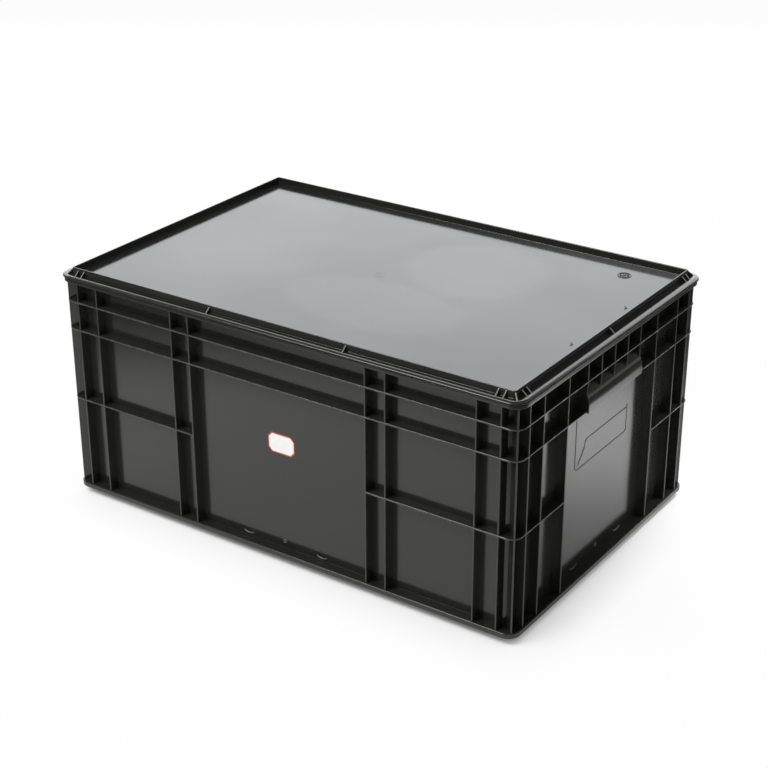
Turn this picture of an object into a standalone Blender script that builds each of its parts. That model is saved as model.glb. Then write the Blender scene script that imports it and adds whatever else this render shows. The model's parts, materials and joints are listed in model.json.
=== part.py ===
"""Stacking plastic crate, 600 x 400 mm, with its loose lid on and a paper sticker on one long wall.

Metres, +Z up, X along the long walls. The origin is on the floor, under the middle of the crate.
"""
import math

import bmesh
import bpy
from mathutils import Vector

# Plan of the lid's lip, the widest part of the crate
LENGTH = 0.600
WIDTH = 0.400
LIP_RADIUS = 0.017

# Heights of the open crate: foot, base flange and rim
CRATE_HEIGHT = 0.2713
FOOT_HEIGHT = 0.008
FLANGE_HEIGHT = 0.006
RIM_FACE = 0.0045
RIM_LIP = 0.0028

# How far the outlines stand out from one another
LIP_OVERHANG = 0.0015
RIM_OVERHANG = 0.0025
FLANGE_OVERHANG = 0.0012
EDGE_ROUND = 0.001

# Thicknesses of the crate
WALL = 0.0025
WALL_RADIUS = 0.012
WALL_DRAFT = 0.0008
FLOOR = 0.003
RIM_PLATE = 0.0025
RIM_WALL = 0.003
FOOT_WALL = 0.003
BASE_WEB = 0.0022

# Ribs round the walls: level ones are dropped from the rim, upright ones are set in from the corner
RIB_DEPTH = 0.012
RIB_EDGE = 0.002
RIB_ROOT = 0.0026
UPRIGHT_SETBACK = 0.0003
LEVEL_DROPS = (0.0276, 0.0615, 0.1480)
CORNER_RIB = 0.021
SECOND_RIB = 0.049
SIDE_PAIR = (0.473, 0.390)
END_INNER = 0.4975
BASE_CELLS = (6, 4)

# Grip hood on each end wall, with short ribs between it and the rim
GRIP_RIBS = 5
GRIP_PITCH = 0.029
HOOD_END = 0.0015
HOOD_FACE = 0.0065
HOOD_RADIUS = 0.025
HOOD_WALL = 0.0025

# Lid: sunk panel inside an upstanding ridge, ledge, lip over the rim, and a plug inside the walls
LID_RISE = 0.011
PANEL = 0.0022
RIDGE = 0.0022
RIDGE_DRAFT = 0.0008
RIDGE_RADIUS = 0.003
LEDGE_END = 0.0165
LEDGE_SIDE = 0.0101
LEDGE_DROP = 0.0068
LEDGE_FALL = 0.0005
LIP_WALL = 0.0025
LIP_ROUND = 0.0014
PLUG_DEPTH = 0.006
PLUG_WALL = 0.002
GUSSET = 0.0016
GUSSET_FOOT = 0.0062
GUSSETS_FROM_CORNER = (0.0104, 0.0187)
SIDE_GUSSET = 0.295

# Clearances
SEAT_GAP = 0.0003
PLUG_CLEARANCE = 0.0008
STACK_CLEARANCE = 0.0015
STICKER_GAP = 0.0001

# Octagonal paper sticker in the middle bay of the front wall
STICKER_LENGTH = 0.0355
STICKER_HEIGHT = 0.0238
STICKER_CUT = 0.0052
STICKER_PAPER = 0.0003
STICKER_CENTRE = (-0.0012, 0.1405)

CORNER_STEPS = 5
HOOD_STEPS = 8
OVERRUN = 0.002


def grow(shape, amount):
    """Offset a rounded rectangle (half length, half width, corner radius)."""
    return (shape[0] + amount, shape[1] + amount, max(shape[2] + amount, 0.0008))


# Outlines in plan, from the lip inwards
lip = (LENGTH / 2, WIDTH / 2, LIP_RADIUS)
rim = grow(lip, -LIP_OVERHANG)
rim_inside = grow(rim, -RIM_WALL)
ribs = grow(rim, -RIM_OVERHANG)
flange = grow(ribs, FLANGE_OVERHANG)
wall = (ribs[0] - RIB_DEPTH, ribs[1] - RIB_DEPTH, WALL_RADIUS)
wall_middle = grow(wall, -WALL / 2)
inside = grow(wall, -WALL)
foot = grow(inside, -STACK_CLEARANCE)
ridge = (lip[0] - LEDGE_END, lip[1] - LEDGE_SIDE, RIDGE_RADIUS)
plug = grow(inside, -PLUG_CLEARANCE)

# Levels above the floor
base_top = FOOT_HEIGHT + FLANGE_HEIGHT
floor_top = FOOT_HEIGHT + FLOOR
rim_under = CRATE_HEIGHT - RIM_FACE
plate_top = CRATE_HEIGHT - RIM_LIP
plate_under = plate_top - RIM_PLATE
levels = [CRATE_HEIGHT - drop for drop in LEVEL_DROPS]
lid_seat = plate_top + SEAT_GAP

# Upright ribs, measured from the middle of a wall
side_ribs = (ribs[0] - CORNER_RIB, ribs[0] - SECOND_RIB, SIDE_PAIR[0] * ribs[0], SIDE_PAIR[1] * ribs[0])
end_ribs = (ribs[1] - CORNER_RIB, ribs[1] - SECOND_RIB, END_INNER * ribs[1])
grip_ribs = [(i - (GRIP_RIBS - 1) / 2) * GRIP_PITCH for i in range(GRIP_RIBS)]


def corner_arc(shape, steps=CORNER_STEPS):
    """Points round the +X +Y corner of a rounded rectangle, from its +X side to its +Y side."""
    half_x, half_y, radius = shape
    turns = [math.pi / 2 * i / steps for i in range(steps + 1)]
    return [(half_x - radius + radius * math.cos(t), half_y - radius + radius * math.sin(t)) for t in turns]


def outline(shape):
    """The whole rounded rectangle, anticlockwise."""
    arc = corner_arc(shape)
    points = list(arc)
    points += [(-x, y) for x, y in reversed(arc)]
    points += [(-x, -y) for x, y in arc]
    points += [(x, -y) for x, y in reversed(arc)]
    return points


def finish(name, bm):
    """Turn the faces outwards and make an object of the mesh."""
    bmesh.ops.recalc_face_normals(bm, faces=bm.faces)
    mesh = bpy.data.meshes.new(name)
    bm.to_mesh(mesh)
    bm.free()
    item = bpy.data.objects.new(name, mesh)
    bpy.context.scene.collection.objects.link(item)
    return item


def loft(name, sections, ring=False):
    """Skin a list of (outline shape, height); a ring closes on itself, anything else gets two caps."""
    bm = bmesh.new()
    loops = [[bm.verts.new((x, y, z)) for x, y in outline(shape)] for shape, z in sections]
    pairs = list(zip(loops, loops[1:]))
    if ring:
        pairs.append((loops[-1], loops[0]))
    else:
        bm.faces.new(loops[0])
        bm.faces.new(loops[-1])
    for low, high in pairs:
        count = len(low)
        for i in range(count):
            j = (i + 1) % count
            bm.faces.new((low[i], low[j], high[j], high[i]))
    return finish(name, bm)


def extrude(name, points, shift):
    """Sweep a flat closed outline along a straight line."""
    bm = bmesh.new()
    start = [bm.verts.new(point) for point in points]
    end = [bm.verts.new(Vector(point) + Vector(shift)) for point in points]
    bm.faces.new(start)
    bm.faces.new(end)
    for i in range(len(points)):
        j = (i + 1) % len(points)
        bm.faces.new((start[i], start[j], end[j], end[i]))
    return finish(name, bm)


def block(name, low, high):
    """A box between two corners."""
    plan = [(low[0], low[1]), (high[0], low[1]), (high[0], high[1]), (low[0], high[1])]
    return extrude(name, [(x, y, low[2]) for x, y in plan], (0, 0, high[2] - low[2]))


def upright(name, root, edge, low, high):
    """A standing rib that tapers from its root on the wall to its free edge."""
    root = Vector(root)
    edge = Vector(edge)
    out = (edge - root).normalized()
    side = Vector((-out.y, out.x))
    plan = [root - side * RIB_ROOT / 2, edge - side * RIB_EDGE / 2]
    plan += [edge + side * RIB_EDGE / 2, root + side * RIB_ROOT / 2]
    return extrude(name, [(p.x, p.y, low) for p in plan], (0, 0, high - low))


def combine(target, operands, operation):
    """Join the operands to the target, or cut them out of it, and clear them away."""
    group = bpy.data.collections.new("operands")
    bpy.context.scene.collection.children.link(group)
    for item in operands:
        group.objects.link(item)
        item.hide_render = True
        item.display_type = 'WIRE'
    modifier = target.modifiers.new("combine", 'BOOLEAN')
    modifier.operation = operation
    modifier.solver = 'EXACT'
    modifier.operand_type = 'COLLECTION'
    modifier.collection = group
    graph = bpy.context.evaluated_depsgraph_get()
    mesh = bpy.data.meshes.new_from_object(target.evaluated_get(graph))
    target.modifiers.clear()
    target.data = mesh
    mesh.name = target.name
    for item in operands:
        bpy.data.objects.remove(item)
    bpy.data.collections.remove(group)


def dress(item, colour, roughness):
    """Give a piece its own material and smooth shading on its round corners."""
    material = bpy.data.materials.new(item.name + "_surface")
    material.use_nodes = True
    shader = material.node_tree.nodes["Principled BSDF"]
    shader.inputs["Base Color"].default_value = (*colour, 1)
    shader.inputs["Roughness"].default_value = roughness
    shader.inputs["Metallic"].default_value = 0
    item.data.materials.clear()
    item.data.materials.append(material)
    item.data.shade_smooth()
    item.data.set_sharp_from_angle(angle=math.radians(30))


def crate_shell():
    """Foot, base flange, plain walls and stepped rim, as one skin from the floor to the inside."""
    narrow = grow(inside, -WALL_DRAFT)
    sections = [
        (grow(foot, -EDGE_ROUND), 0),
        (foot, EDGE_ROUND),
        (foot, FOOT_HEIGHT),
        (grow(flange, -EDGE_ROUND), FOOT_HEIGHT),
        (flange, FOOT_HEIGHT + EDGE_ROUND),
        (flange, base_top - EDGE_ROUND),
        (grow(flange, -EDGE_ROUND), base_top),
        (wall, base_top),
        (wall, plate_under),
        (ribs, plate_under),
        (ribs, rim_under),
        (rim, rim_under),
        (rim, CRATE_HEIGHT - EDGE_ROUND),
        (grow(rim, -EDGE_ROUND), CRATE_HEIGHT),
        (rim_inside, CRATE_HEIGHT),
        (rim_inside, plate_top),
        (inside, plate_top),
        (narrow, floor_top),
    ]
    return loft("crate_body", sections)


def level_ribs():
    """Two level ribs go right round; the lowest only turns the corners and stops at the middle bays."""
    made = []
    for z in levels[:2]:
        sections = [
            (ribs, z - RIB_EDGE / 2),
            (ribs, z + RIB_EDGE / 2),
            (wall_middle, z + RIB_ROOT / 2),
            (wall_middle, z - RIB_ROOT / 2),
        ]
        made.append(loft("level_rib", sections, ring=True))
    stop_x = side_ribs[3]
    stop_y = end_ribs[2]
    outer = [(ribs[0], stop_y)] + corner_arc(ribs) + [(stop_x, ribs[1])]
    inner = [(stop_x, wall_middle[1])] + corner_arc(wall_middle)[::-1] + [(wall_middle[0], stop_y)]
    low = levels[2] - RIB_EDGE / 2
    for sx in (-1, 1):
        for sy in (-1, 1):
            plan = [(sx * x, sy * y, low) for x, y in outer + inner]
            made.append(extrude("corner_rib", plan, (0, 0, RIB_EDGE)))
    return made


def upright_ribs():
    """Standing ribs on all four walls and across each corner, from the base flange to the rim."""
    low = base_top - OVERRUN
    high = plate_under + RIM_PLATE / 2
    edge_x = ribs[0] - UPRIGHT_SETBACK
    edge_y = ribs[1] - UPRIGHT_SETBACK
    made = []
    for sx in (-1, 1):
        for sy in (-1, 1):
            for x in side_ribs:
                root = (sx * x, sy * wall_middle[1])
                made.append(upright("side_rib", root, (sx * x, sy * edge_y), low, high))
            for y in end_ribs:
                root = (sx * wall_middle[0], sy * y)
                made.append(upright("end_rib", root, (sx * edge_x, sy * y), low, high))
            near = corner_arc(wall_middle, 2)[1]
            far = corner_arc(grow(ribs, -UPRIGHT_SETBACK), 2)[1]
            root = (sx * near[0], sy * near[1])
            made.append(upright("corner_upright", root, (sx * far[0], sy * far[1]), low, high))
        for y in grip_ribs:
            root = (sx * wall_middle[0], y)
            made.append(upright("grip_rib", root, (sx * edge_x, y), levels[1] + HOOD_FACE, high))
    return made


def hood_arc(thickness, back):
    """Round of the grip hood in X and Z, a thickness in from its skin, from its face up to the back."""
    centre_x = rim[0] - HOOD_RADIUS
    centre_z = levels[1] + HOOD_FACE
    radius = HOOD_RADIUS - thickness
    sweep = math.acos((back - centre_x) / radius)
    turns = [sweep * i / HOOD_STEPS for i in range(HOOD_STEPS + 1)]
    return [(centre_x + radius * math.cos(t), centre_z + radius * math.sin(t)) for t in turns]


def grip_hoods():
    """Rounded hood over each grip, flush with the rim, running back up into the wall."""
    back = wall_middle[0]
    low = levels[1] - RIB_EDGE / 2
    half = grip_ribs[-1] + HOOD_END
    section = [(back, low), (rim[0], low)] + hood_arc(0, back)
    made = []
    for sx in (-1, 1):
        made.append(extrude("grip_hood", [(sx * x, -half, z) for x, z in section], (0, 2 * half, 0)))
    return made


def finger_spaces():
    """Space for the fingers behind each hood, open below."""
    back = wall[0] - SEAT_GAP
    low = levels[1] - RIB_ROOT / 2 - SEAT_GAP
    half = grip_ribs[-1] + HOOD_END - HOOD_WALL
    section = [(back, low), (rim[0] - HOOD_WALL, low)] + hood_arc(HOOD_WALL, back)
    made = []
    for sx in (-1, 1):
        made.append(extrude("finger_space", [(sx * x, -half, z) for x, z in section], (0, 2 * half, 0)))
    return made


def base_cells():
    """Shallow cells that leave a grid of webs under the floor, inside the foot."""
    across, along = BASE_CELLS
    span_x = 2 * (foot[0] - FOOT_WALL) + BASE_WEB
    span_y = 2 * (foot[1] - FOOT_WALL) + BASE_WEB
    made = []
    for i in range(across):
        x0 = -span_x / 2 + span_x * i / across + BASE_WEB / 2
        x1 = x0 + span_x / across - BASE_WEB
        for j in range(along):
            y0 = -span_y / 2 + span_y * j / along + BASE_WEB / 2
            y1 = y0 + span_y / along - BASE_WEB
            made.append(block("base_cell", (x0, y0, -OVERRUN), (x1, y1, FOOT_HEIGHT)))
    return made


def lid_shell():
    """Panel, ridge, ledge, lip and plug of the lid, as one skin from its top to its underside."""
    under = 0
    panel_top = under + PANEL
    ridge_top = CRATE_HEIGHT + LID_RISE - lid_seat
    ledge_in = ridge_top - LEDGE_DROP
    ledge_out = ledge_in - LEDGE_FALL
    lip_low = CRATE_HEIGHT + SEAT_GAP - lid_seat
    ledge_under = ledge_out - LIP_WALL
    ridge_inner = grow(ridge, -RIDGE)
    plug_inner = grow(plug, -RIDGE_DRAFT - PLUG_WALL)
    sections = [
        (grow(ridge_inner, -RIDGE_DRAFT), panel_top),
        (ridge_inner, ridge_top),
        (ridge, ridge_top),
        (grow(ridge, RIDGE_DRAFT), ledge_in),
        (grow(lip, -LIP_ROUND), ledge_out),
        (grow(lip, -LIP_ROUND * 0.3), ledge_out - LIP_ROUND * 0.3),
        (lip, ledge_out - LIP_ROUND),
        (lip, lip_low),
        (grow(lip, -LIP_WALL), lip_low),
        (grow(lip, -LIP_WALL), ledge_under),
        (ridge, ledge_under),
        (ridge, under),
        (plug, under),
        (grow(plug, -RIDGE_DRAFT), under - PLUG_DEPTH),
        (plug_inner, under - PLUG_DEPTH),
        (plug_inner, under),
    ]
    return loft("lid", sections), ledge_in, ridge_top


def gusset(point, out, ledge, top):
    """Small triangular web between the ridge and the ledge of the lid."""
    out = Vector((out[0], out[1], 0)).normalized()
    side = Vector((-out.y, out.x, 0)) * GUSSET
    start = Vector((point[0], point[1], 0)) - side / 2
    section = [(-RIDGE / 2, top - RIDGE / 4), (GUSSET_FOOT + RIDGE / 4, ledge - LEDGE_FALL - RIDGE / 4)]
    section += [(-RIDGE / 2, ledge - RIDGE / 2)]
    points = [start + out * d + Vector((0, 0, z)) for d, z in section]
    return extrude("gusset", points, side)


def lid_gussets(ledge, top):
    """Webs by every corner of the ridge, across the corner, and along each side."""
    made = []
    corner = corner_arc(ridge, 2)[1]
    for sx in (-1, 1):
        for sy in (-1, 1):
            for away in GUSSETS_FROM_CORNER:
                made.append(gusset((sx * (ridge[0] - away), sy * ridge[1]), (0, sy), ledge, top))
                made.append(gusset((sx * ridge[0], sy * (ridge[1] - away)), (sx, 0), ledge, top))
            made.append(gusset((sx * corner[0], sy * corner[1]), (sx, sy), ledge, top))
            made.append(gusset((sx * SIDE_GUSSET * lip[0], sy * ridge[1]), (0, sy), ledge, top))
        made.append(gusset((sx * ridge[0], 0), (sx, 0), ledge, top))
    return made


def sticker():
    """Rectangle of paper with cut corners, lying on the front wall."""
    half_x = STICKER_LENGTH / 2
    half_z = STICKER_HEIGHT / 2
    cut = STICKER_CUT
    quarter = [(half_x, half_z - cut), (half_x - cut, half_z)]
    points = list(quarter)
    points += [(-x, z) for x, z in reversed(quarter)]
    points += [(-x, -z) for x, z in quarter]
    points += [(x, -z) for x, z in reversed(quarter)]
    item = extrude("paper_sticker", [(x, 0, z) for x, z in points], (0, -STICKER_PAPER, 0))
    item.location = (STICKER_CENTRE[0], -wall[1] - STICKER_GAP, STICKER_CENTRE[1])
    return item


for old in list(bpy.data.objects):
    bpy.data.objects.remove(old)

crate = crate_shell()
combine(crate, level_ribs() + upright_ribs() + grip_hoods(), 'UNION')
combine(crate, finger_spaces() + base_cells(), 'DIFFERENCE')
dress(crate, (0.012, 0.012, 0.013), 0.32)

lid, lid_ledge, lid_top = lid_shell()
combine(lid, lid_gussets(lid_ledge, lid_top), 'UNION')
lid.location = (0, 0, lid_seat)
dress(lid, (0.014, 0.014, 0.015), 0.26)

paper = sticker()
dress(paper, (0.88, 0.86, 0.84), 0.7)
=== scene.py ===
import json
import math

import bmesh
import bpy
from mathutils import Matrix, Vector

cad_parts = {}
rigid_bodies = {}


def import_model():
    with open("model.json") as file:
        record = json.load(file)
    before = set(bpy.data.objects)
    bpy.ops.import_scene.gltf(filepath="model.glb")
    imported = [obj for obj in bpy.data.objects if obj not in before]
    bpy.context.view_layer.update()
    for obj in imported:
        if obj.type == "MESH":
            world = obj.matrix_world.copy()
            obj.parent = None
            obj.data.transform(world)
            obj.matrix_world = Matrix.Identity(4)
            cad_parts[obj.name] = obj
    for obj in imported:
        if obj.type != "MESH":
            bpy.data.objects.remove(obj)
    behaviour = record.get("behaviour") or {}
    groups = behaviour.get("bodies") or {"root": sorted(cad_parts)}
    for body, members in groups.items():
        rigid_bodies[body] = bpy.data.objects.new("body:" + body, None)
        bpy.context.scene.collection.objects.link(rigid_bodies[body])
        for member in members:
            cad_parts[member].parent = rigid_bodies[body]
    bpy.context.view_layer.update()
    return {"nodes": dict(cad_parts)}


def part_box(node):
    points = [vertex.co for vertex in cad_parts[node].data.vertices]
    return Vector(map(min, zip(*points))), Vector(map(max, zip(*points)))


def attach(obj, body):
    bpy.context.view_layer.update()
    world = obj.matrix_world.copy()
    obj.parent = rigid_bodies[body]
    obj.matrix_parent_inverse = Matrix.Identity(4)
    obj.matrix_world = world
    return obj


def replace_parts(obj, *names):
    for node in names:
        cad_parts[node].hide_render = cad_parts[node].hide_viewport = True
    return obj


for item in list(bpy.data.objects):
    bpy.data.objects.remove(item)
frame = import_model()
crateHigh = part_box("crate_body")[1]
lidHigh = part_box("lid")[1]
paperLow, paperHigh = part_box("paper_sticker")
print("frame loaded:", ", ".join(sorted(frame["nodes"])))


# Small helpers for node trees

def addNode(tree, kind, feeds=None, **choices):
    node = tree.nodes.new(kind)
    for name, value in choices.items():
        setattr(node, name, value)
    for socket, value in (feeds or {}).items():
        if isinstance(value, bpy.types.NodeSocket):
            tree.links.new(value, node.inputs[socket])
        else:
            node.inputs[socket].default_value = value
    return node


def maths(tree, operation, first, second=0.0, third=0.0):
    return addNode(tree, 'ShaderNodeMath', {0: first, 1: second, 2: third}, operation=operation).outputs[0]


def vectorMaths(tree, operation, first, second=(0, 0, 0)):
    slot = "Scale" if operation == 'SCALE' else 1
    found = addNode(tree, 'ShaderNodeVectorMath', {0: first, slot: second}, operation=operation).outputs
    return found["Value"] if operation in ('LENGTH', 'DISTANCE') else found[0]


def wholeMaths(tree, operation, first, second):
    return addNode(tree, 'FunctionNodeIntegerMath', {0: first, 1: second}, operation=operation).outputs[0]


def vectorOf(tree, x=0.0, y=0.0, z=0.0):
    return addNode(tree, 'ShaderNodeCombineXYZ', {0: x, 1: y, 2: z}).outputs[0]


def partsOf(tree, vector):
    return addNode(tree, 'ShaderNodeSeparateXYZ', {0: vector}).outputs


def noise(tree, place, scale, detail, roughness=0.5, distortion=0.0):
    return addNode(tree, 'ShaderNodeTexNoise', {
        "Vector": place, "Scale": scale, "Detail": detail,
        "Roughness": roughness, "Distortion": distortion}).outputs


def ranged(tree, value, span, low=0.0, high=1.0, soft=False):  # low to high as the value crosses the span
    return addNode(tree, 'ShaderNodeMapRange', {
        "Value": value, "From Min": span[0], "From Max": span[1], "To Min": low, "To Max": high},
        interpolation_type='SMOOTHSTEP' if soft else 'LINEAR').outputs[0]


def newTree(name, kind, inputs, outputs):
    tree = bpy.data.node_groups.new(name, kind)
    for inOut, sockets in (('INPUT', inputs), ('OUTPUT', outputs)):
        for label, sort in sockets:
            tree.interface.new_socket(name=label, in_out=inOut, socket_type='NodeSocket' + sort)
    given = tree.nodes.new('NodeGroupInput').outputs
    result = tree.nodes.new('NodeGroupOutput').inputs
    return tree, given, result


def plainMesh(piece):  # what the modifiers give becomes the piece's own mesh
    graph = bpy.context.evaluated_depsgraph_get()
    mesh = bpy.data.meshes.new_from_object(piece.evaluated_get(graph))
    piece.modifiers.clear()
    piece.data = mesh
    mesh.name = piece.name
    return piece


def growTree(name, tree, mesh, values):
    piece = bpy.data.objects.new(name, mesh)
    bpy.context.scene.collection.objects.link(piece)
    modifier = piece.modifiers.new("nodes", 'NODES')
    modifier.node_group = tree
    sockets = {s.name: s.identifier for s in tree.interface.items_tree if s.in_out == 'INPUT'}
    for label, value in values.items():
        modifier[sockets[label]] = value
    plainMesh(piece)
    bm = bmesh.new()
    bm.from_mesh(piece.data)
    bmesh.ops.recalc_face_normals(bm, faces=bm.faces)
    bm.to_mesh(piece.data)
    bm.free()
    return piece


def pointMesh(name, points, **values):  # loose points, each with its own values for a tree
    mesh = bpy.data.meshes.new(name)
    mesh.from_pydata(points, [], [])
    for label, numbers in values.items():
        mesh.attributes.new(label, 'FLOAT', 'POINT').data.foreach_set("value", numbers)
    return mesh


# Small helpers for meshes

leastRadius = 0.0008  # no plan has a sharper corner
roundShare = 0.48  # of a side, at most, goes into the rounding of each of its ends


def grown(shape, amount):  # a rounded rectangle: half length, half width, corner radius
    return shape[0] + amount, shape[1] + amount, max(shape[2] + amount, leastRadius)


def cornerArc(shape, steps):
    halfX, halfY, radius = shape
    turns = [math.pi / 2 * i / steps for i in range(steps + 1)]
    return [(halfX - radius + radius * math.cos(t), halfY - radius + radius * math.sin(t)) for t in turns]


def cornerMiddle(shape):
    return cornerArc(shape, 2)[1]


def planRing(shape, steps):
    arc = cornerArc(shape, steps)
    ring = arc + [(-x, y) for x, y in reversed(arc)]
    return ring + [(-x, -y) for x, y in ring]


def softened(rows, softs, steps):  # rounds every inner corner of a path of rows by its own amount
    rows = [Vector(row) for row in rows]
    made = [rows[0]]
    for before, here, after, soft in zip(rows, rows[1:], rows[2:], softs):
        ends = []
        for other in (before, after):
            away = other - here
            ends.append(here + away * min(soft / math.hypot(away[0], away[-1]), roundShare))
        for i in range(steps + 1):
            t = i / steps
            made.append(ends[0] * (1 - t) ** 2 + here * (2 * t * (1 - t)) + ends[1] * t * t)
    made.append(rows[-1])
    return made


def meshPiece(name, bm):
    bmesh.ops.recalc_face_normals(bm, faces=bm.faces)
    mesh = bpy.data.meshes.new(name)
    bm.to_mesh(mesh)
    bm.free()
    piece = bpy.data.objects.new(name, mesh)
    bpy.context.scene.collection.objects.link(piece)
    return piece


def skinLoops(name, loops):  # closed loops of points, skinned in turn and capped at both ends
    bm = bmesh.new()
    rings = [[bm.verts.new(point) for point in loop] for loop in loops]
    bm.faces.new(rings[0])
    bm.faces.new(rings[-1])
    for low, high in zip(rings, rings[1:]):
        for i in range(len(low)):
            j = (i + 1) % len(low)
            bm.faces.new((low[i], low[j], high[j], high[i]))
    return meshPiece(name, bm)


def mouldedShell(name, sections, cornerSteps, softSteps):  # sections: plan, height and softness of its edge
    rows = [(*shape, z) for shape, z, soft in sections]
    softs = [soft for shape, z, soft in sections[1:-1]]
    loops = []
    for halfX, halfY, radius, z in softened(rows, softs, softSteps):
        loops.append([(x, y, z) for x, y in planRing((halfX, halfY, radius), cornerSteps)])
    return skinLoops(name, loops)


def combine(target, operands, operation):
    group = bpy.data.collections.new("operands")
    bpy.context.scene.collection.children.link(group)
    for item in operands:
        group.objects.link(item)
    modifier = target.modifiers.new("combine", 'BOOLEAN')
    modifier.operation = operation
    modifier.solver = 'EXACT'
    modifier.operand_type = 'COLLECTION'
    modifier.collection = group
    plainMesh(target)
    for item in operands:
        bpy.data.objects.remove(item)
    bpy.data.collections.remove(group)


def smoothSkin(piece, degrees=42):  # round edges flow, flat faces stay flat
    piece.data.shade_smooth()
    piece.data.set_sharp_from_angle(angle=math.radians(degrees))
    modifier = piece.modifiers.new("normals", 'WEIGHTED_NORMAL')
    modifier.keep_sharp = True
    modifier.weight = 100
    plainMesh(piece)


# Shader groups that the finishes share

wearLook = {
    "rubAndHighlightPatches": (0.34, 0.62), "hairs": (0.66, 0.74),
    "hairPatches": (0.5, 0.7), "hairPatchScale": 14.0,
}


def mouldSkinGroup():  # fine spark grain and slow cloudiness of a moulded face
    tree, given, result = newTree("mouldSkin", 'ShaderNodeTree', [
        ("Vector", "Vector"), ("Grain Scale", "Float"), ("Cloud Scale", "Float")],
        [("Grain", "Float"), ("Cloud", "Float")])
    grain = noise(tree, given["Vector"], given["Grain Scale"], detail=3.0, roughness=0.6)
    cloud = noise(tree, given["Vector"], given["Cloud Scale"], detail=4.0, roughness=0.55, distortion=0.6)
    tree.links.new(grain[0], result["Grain"])
    tree.links.new(cloud[0], result["Cloud"])
    return tree


def planDistance(tree, place, halfX, halfY, corner):  # out from a rounded rectangle in plan, and the height
    parts = partsOf(tree, place)
    over = []
    for axis, half in (("X", halfX), ("Y", halfY)):
        straight = maths(tree, 'SUBTRACT', half, corner)
        over.append(maths(tree, 'SUBTRACT', maths(tree, 'ABSOLUTE', parts[axis]), straight))
    outside = vectorOf(tree, *[maths(tree, 'MAXIMUM', amount, 0.0) for amount in over])
    inside = maths(tree, 'MINIMUM', maths(tree, 'MAXIMUM', *over), 0.0)
    away = maths(tree, 'ADD', vectorMaths(tree, 'LENGTH', outside), inside)
    return maths(tree, 'SUBTRACT', away, corner), parts["Z"]


def rubAndHighlightEdgesGroup():  # a thin band along a rounded plan and along the top, where a piece is rubbed pale, partly as a painted highlight on its edges
    tree, given, result = newTree("rubbedEdges", 'ShaderNodeTree', [
        ("Vector", "Vector"), ("Half X", "Float"), ("Half Y", "Float"), ("Corner", "Float"), ("Top", "Float"),
        ("Depth", "Float"), ("Patch Scale", "Float")], [("Mask", "Float")])
    fromPlan, height = planDistance(tree, given["Vector"], given["Half X"], given["Half Y"], given["Corner"])
    fromTop = maths(tree, 'SUBTRACT', height, given["Top"])
    nearest = maths(tree, 'MINIMUM', maths(tree, 'ABSOLUTE', fromPlan), maths(tree, 'ABSOLUTE', fromTop))
    edge = ranged(tree, nearest, (given["Depth"], 0.0), soft=True)
    patch = noise(tree, given["Vector"], given["Patch Scale"], detail=5.0, roughness=0.65)
    patchy = ranged(tree, patch[0], wearLook["rubAndHighlightPatches"])
    tree.links.new(maths(tree, 'MULTIPLY', edge, patchy), result["Mask"])
    return tree


def scuffsGroup():  # hairline scuffs, longer one way
    tree, given, result = newTree("hairScuffs", 'ShaderNodeTree', [
        ("Vector", "Vector"), ("Stretch", "Vector"), ("Turn", "Vector"), ("Amount", "Float")],
        [("Mask", "Float")])
    placed = addNode(tree, 'ShaderNodeMapping', {
        "Vector": given["Vector"], "Rotation": given["Turn"], "Scale": given["Stretch"]}).outputs[0]
    hair = noise(tree, placed, 1.0, detail=2.0)
    patch = noise(tree, given["Vector"], wearLook["hairPatchScale"], detail=2.0)
    lines = ranged(tree, hair[0], wearLook["hairs"])
    where = ranged(tree, patch[0], wearLook["hairPatches"])
    shown = maths(tree, 'MULTIPLY', maths(tree, 'MULTIPLY', lines, where), given["Amount"])
    tree.links.new(shown, result["Mask"])
    return tree


mouldSkin = mouldSkinGroup()
rubbedEdges = rubAndHighlightEdgesGroup()
hairScuffs = scuffsGroup()


def useGroup(tree, group, feeds):
    return addNode(tree, 'ShaderNodeGroup', feeds, node_tree=group).outputs


def fullColour(value):
    return value if isinstance(value, bpy.types.NodeSocket) else (*value, 1)


def mixColours(tree, factor, first, second):
    feeds = {0: factor, 6: fullColour(first), 7: fullColour(second)}
    return addNode(tree, 'ShaderNodeMix', feeds, data_type='RGBA').outputs[2]


def newFinish(name):
    material = bpy.data.materials.new(name)
    material.use_nodes = True
    tree = material.node_tree
    place = addNode(tree, 'ShaderNodeTexCoord').outputs["Object"]
    return material, tree, tree.nodes["Principled BSDF"].inputs, place


cratePlastic = {
    "colour": (0.0150, 0.0151, 0.0128), "cloudColour": (0.0190, 0.0191, 0.0164),
    "rubAndHighlightColour": (0.055, 0.055, 0.051), "gloss": 0.65,
    "roughness": 0.14, "cloudRoughness": 0.06, "rubRoughness": 0.14, "scuffRoughness": 0.16,
    "grainScale": 1400.0, "grainHeight": 0.0000007,
    "cloudScale": 26.0, "waveScale": 9.0, "waveHeight": 0.0005,
    "rubAndHighlightPlan": (0.2959, 0.1959, 0.013), "rubAndHighlightDepth": 0.00045, "patchScale": 70.0,
    "rubAndHighlightTop": 0.5,  # higher than the crate, so that no level of it is rubbed pale or painted with a highlight all over
    "guard": (0.0597, 0.2070, 0.2280),  # the grip hoods get no rub or painted highlight: half width, low and high
    "scuffs": 0.35, "scuffStretch": (30.0, 900.0, 900.0), "scuffTurn": (0.3, 0.2, 0.35),
}
pipHighlightPlastic = dict(  # raised pips, their colour paled as a painted highlight
    cratePlastic,
    colour=(0.06, 0.06, 0.056), cloudColour=(0.10, 0.10, 0.094), roughness=0.26,
)
lidPlastic = dict(
    cratePlastic,
    colour=(0.0125, 0.0126, 0.0112), cloudColour=(0.0165, 0.0166, 0.0150),
    roughness=0.12, cloudRoughness=0.05,
    rubAndHighlightPlan=(0.2988, 0.1988, 0.0158), rubAndHighlightTop=0.2823,
    waveScale=6.0, waveHeight=0.0006, guard=None,
)


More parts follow.
